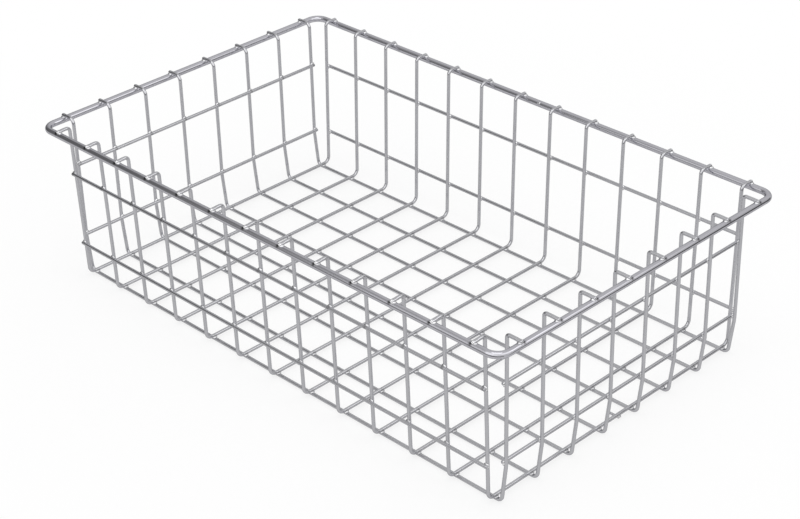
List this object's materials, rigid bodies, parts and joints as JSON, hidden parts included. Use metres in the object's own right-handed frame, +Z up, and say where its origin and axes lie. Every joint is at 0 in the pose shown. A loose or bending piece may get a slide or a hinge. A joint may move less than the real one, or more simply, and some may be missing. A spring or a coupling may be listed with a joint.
{
  "type": "wire basket",
  "caption": "Rectangular open-topped basket of welded wire with a thick rim wire, for holding and draining goods on a shelf or on gastronorm runners.",
  "frame": {"origin": "middle of the underside of the bottom wires, on the surface that the basket stands on", "axes": "+X along the basket, +Y across it towards the side with the rim's butt weld, +Z up"},
  "size_m": [0.53, 0.325, 0.1505],
  "materials": {
    "rim_steel": "bright polished round wire",
    "mesh_steel": "bright drawn round wire, lightly polished",
    "weld_steel": "butt weld dressed flush"
  },
  "bodies": {
    "root": {"rim_wire": "rim_steel", "rim_butt_weld": "weld_steel", "cross_wire_01": "mesh_steel", "cross_wire_02": "mesh_steel", "cross_wire_03": "mesh_steel", "cross_wire_04": "mesh_steel", "cross_wire_05": "mesh_steel", "cross_wire_06": "mesh_steel", "cross_wire_07": "mesh_steel", "cross_wire_08": "mesh_steel", "cross_wire_09": "mesh_steel", "cross_wire_10": "mesh_steel", "cross_wire_11": "mesh_steel", "cross_wire_12": "mesh_steel", "cross_wire_13": "mesh_steel", "long_wire_1": "mesh_steel", "long_wire_2": "mesh_steel", "long_wire_3": "mesh_steel", "long_wire_4": "mesh_steel", "long_wire_5": "mesh_steel", "long_wire_6": "mesh_steel", "long_wire_7": "mesh_steel", "long_wire_8": "mesh_steel", "front_rail_upper": "mesh_steel", "front_rail_lower": "mesh_steel", "back_rail_upper": "mesh_steel", "back_rail_lower": "mesh_steel", "left_rail_upper": "mesh_steel", "left_rail_lower": "mesh_steel", "right_rail_upper": "mesh_steel", "right_rail_lower": "mesh_steel", "end_stub": "mesh_steel"}
  },
  "joints": []
}
